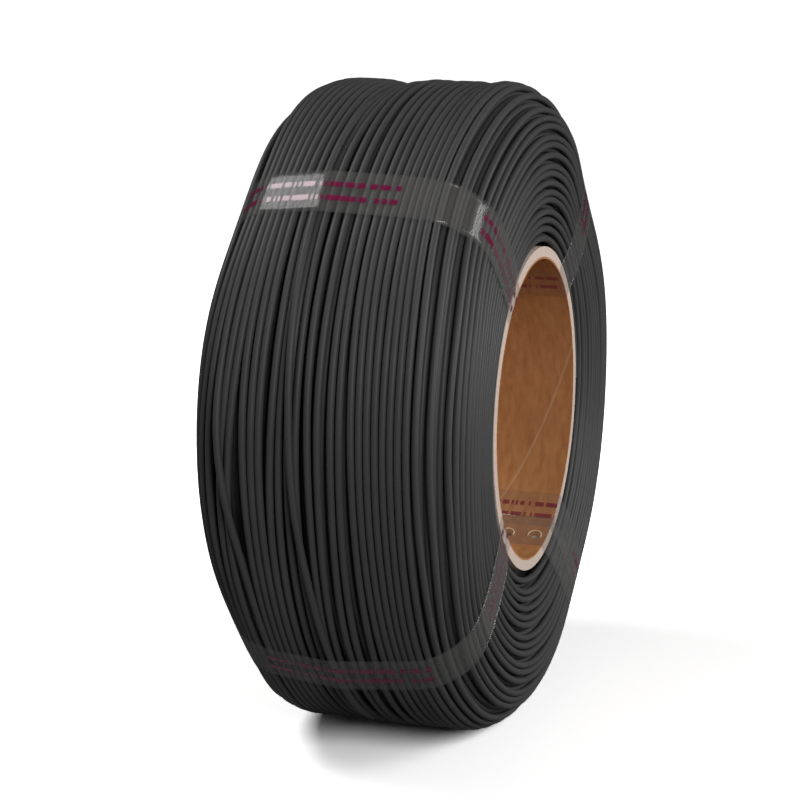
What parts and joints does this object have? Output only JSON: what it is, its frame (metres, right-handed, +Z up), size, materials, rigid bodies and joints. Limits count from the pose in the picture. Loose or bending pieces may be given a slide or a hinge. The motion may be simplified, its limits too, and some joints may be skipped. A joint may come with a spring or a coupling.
{
  "type": "filament refill coil",
  "caption": "Refill coil of dark filament wound on a cardboard core, held by clear tape bands looped through its bore.",
  "frame": {"origin": "middle of the core's bore, on its axis and halfway along it", "axes": "+Y along the bore's axis, away from the end that the picture shows; +Z up, with the coil standing on its rim at -Z"},
  "size_m": [0.165, 0.0647, 0.1648],
  "materials": {
    "core_board": "grey-brown board with a cut edge",
    "kraft_liner": "matte kraft paper",
    "filament": "satin extruded plastic",
    "clear_tape": "clear glossy film"
  },
  "bodies": {
    "root": {"core_liner": "kraft_liner", "core_body": "core_board", "filament_start": "filament", "winding_body": "filament", "outer_turns": "filament", "tape_upper_left": "clear_tape", "tape_upper_right": "clear_tape", "tape_lower_left": "clear_tape", "tape_lower_right": "clear_tape"}
  },
  "joints": []
}
